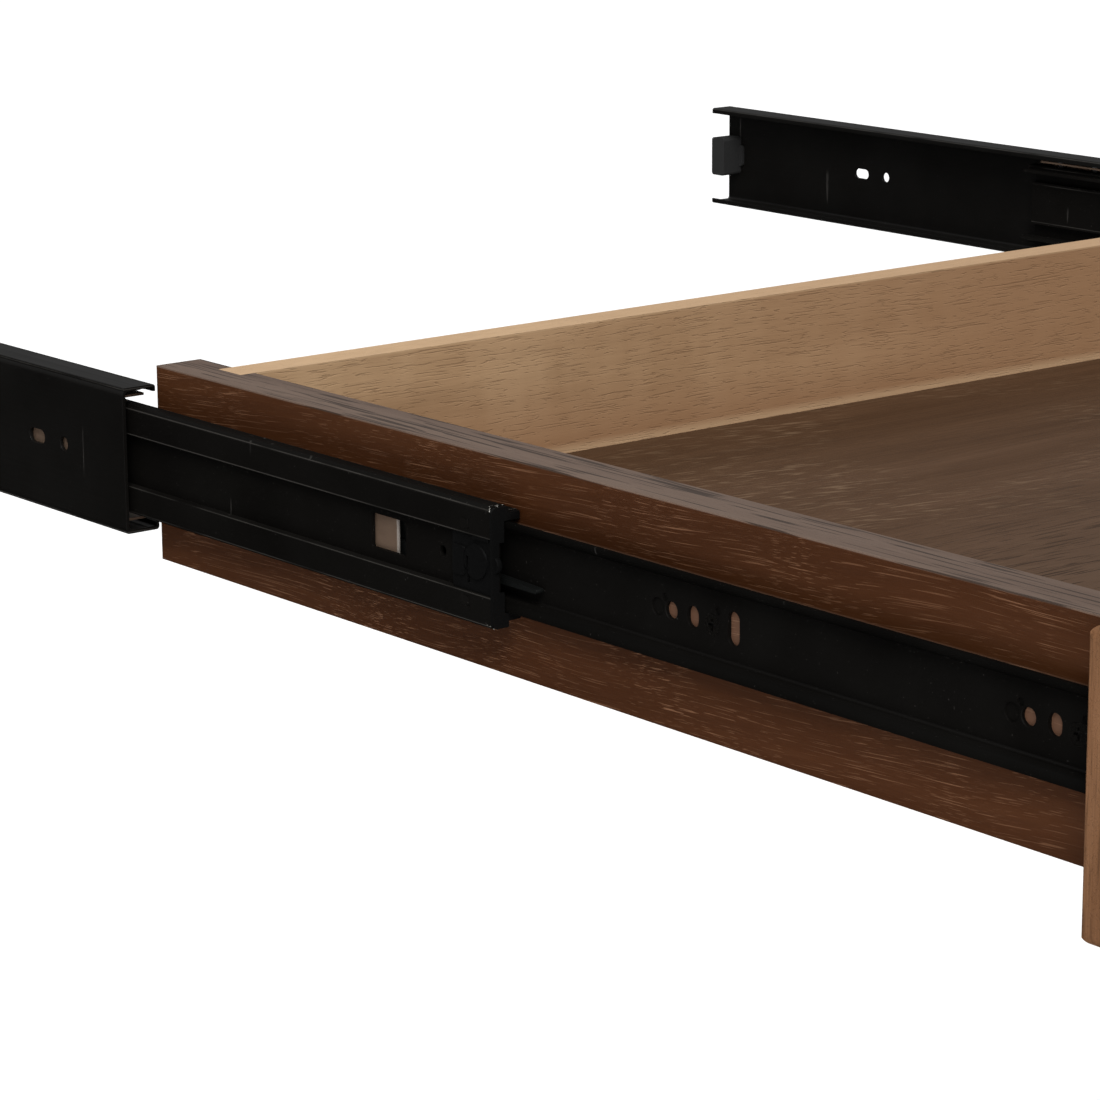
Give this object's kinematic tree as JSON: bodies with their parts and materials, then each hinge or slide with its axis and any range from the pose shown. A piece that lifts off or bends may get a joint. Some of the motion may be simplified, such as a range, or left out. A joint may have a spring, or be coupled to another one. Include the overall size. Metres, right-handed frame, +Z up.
{
  "type": "under desk drawer",
  "caption": "Shallow wooden under desk drawer with an applied front, on side-mounted three-section ball-bearing full-extension slides with disconnect levers.",
  "frame": {"origin": "centre of the desk's opening between the two slides, at the case members' front ends and on the slides' centreline", "axes": "+Z up, the drawer opens towards -Y, +X to the right seen from the front"},
  "size_m": [0.6, 0.82, 0.076],
  "materials": {
    "oak_front": "stained oak, satin lacquer",
    "oak_side": "dark stained oak, satin lacquer",
    "oak_back": "light stained veneer, satin",
    "oak_bottom": "stained veneer, satin",
    "dowel_beech": "raw beech",
    "black_steel": "black electrophoretic coat, satin",
    "black_plastic": "moulded, matte",
    "black_rubber": "soft, matte",
    "cage_zinc": "zinc plated sheet",
    "ball_steel": "polished bearing steel",
    "screw_black": "black zinc",
    "screw_zinc": "zinc plated"
  },
  "bodies": {
    "case": {"case_member_left": "black_steel", "rear_bumper_left": "black_rubber", "case_member_right": "black_steel", "rear_bumper_right": "black_rubber"},
    "drawer": {"front_panel": "oak_front", "box_front": "oak_side", "side_left": "oak_side", "side_right": "oak_side", "back_panel": "oak_back", "bottom_panel": "oak_bottom", "front_dowels": "dowel_beech", "front_screws": "screw_zinc", "bottom_screws": "screw_zinc", "drawer_member_left": "black_steel", "slide_screws_left": "screw_black", "lever_rivet_left": "screw_zinc", "drawer_member_right": "black_steel", "slide_screws_right": "screw_black", "lever_rivet_right": "screw_zinc"},
    "intermediate_left": {"intermediate_left": "black_steel", "end_retainer_left": "black_plastic"},
    "outer_cage_left": {"outer_cage_left": "cage_zinc", "outer_balls_left": "ball_steel"},
    "inner_cage_left": {"inner_cage_left": "cage_zinc", "inner_balls_left": "ball_steel"},
    "lever_left": {"lever_left": "black_plastic"},
    "intermediate_right": {"intermediate_right": "black_steel", "end_retainer_right": "black_plastic"},
    "outer_cage_right": {"outer_cage_right": "cage_zinc", "outer_balls_right": "ball_steel"},
    "inner_cage_right": {"inner_cage_right": "cage_zinc", "inner_balls_right": "ball_steel"},
    "lever_right": {"lever_right": "black_plastic"}
  },
  "joints": [
    {"name": "drawer_slide", "type": "slide", "parent": "case", "child": "drawer", "axis": [0, 1, 0], "range_m": [0, 0.399]},
    {"name": "intermediate_left_slide", "type": "slide", "parent": "case", "child": "intermediate_left", "axis": [0, 1, 0], "range_m": [0, 0.184]},
    {"name": "outer_cage_left_slide", "type": "slide", "parent": "case", "child": "outer_cage_left", "axis": [0, 1, 0], "range_m": [0, 0.0923]},
    {"name": "inner_cage_left_slide", "type": "slide", "parent": "case", "child": "inner_cage_left", "axis": [0, 1, 0], "range_m": [0, 0.2918]},
    {"name": "lever_left_press", "type": "hinge", "parent": "drawer", "child": "lever_left", "pos_m": [-0.2905, -0.113, 0], "axis": [1, 0, 0], "range_deg": [0, 2.5], "stiffness_Nm_per_rad": 0.1, "springref_deg": -2.86},
    {"name": "intermediate_right_slide", "type": "slide", "parent": "case", "child": "intermediate_right", "axis": [0, 1, 0], "range_m": [0, 0.184]},
    {"name": "outer_cage_right_slide", "type": "slide", "parent": "case", "child": "outer_cage_right", "axis": [0, 1, 0], "range_m": [0, 0.0923]},
    {"name": "inner_cage_right_slide", "type": "slide", "parent": "case", "child": "inner_cage_right", "axis": [0, 1, 0], "range_m": [0, 0.2918]},
    {"name": "lever_right_press", "type": "hinge", "parent": "drawer", "child": "lever_right", "pos_m": [0.2905, -0.113, 0], "axis": [-1, 0, 0], "range_deg": [0, 2.5], "stiffness_Nm_per_rad": 0.1, "springref_deg": -2.86}
  ],
  "couplings": [
    {"joint": "intermediate_left_slide", "follows": "drawer_slide", "ratio": 0.46},
    {"joint": "outer_cage_left_slide", "follows": "drawer_slide", "ratio": 0.23},
    {"joint": "inner_cage_left_slide", "follows": "drawer_slide", "ratio": 0.73},
    {"joint": "intermediate_right_slide", "follows": "drawer_slide", "ratio": 0.46},
    {"joint": "outer_cage_right_slide", "follows": "drawer_slide", "ratio": 0.23},
    {"joint": "inner_cage_right_slide", "follows": "drawer_slide", "ratio": 0.73}
  ]
}
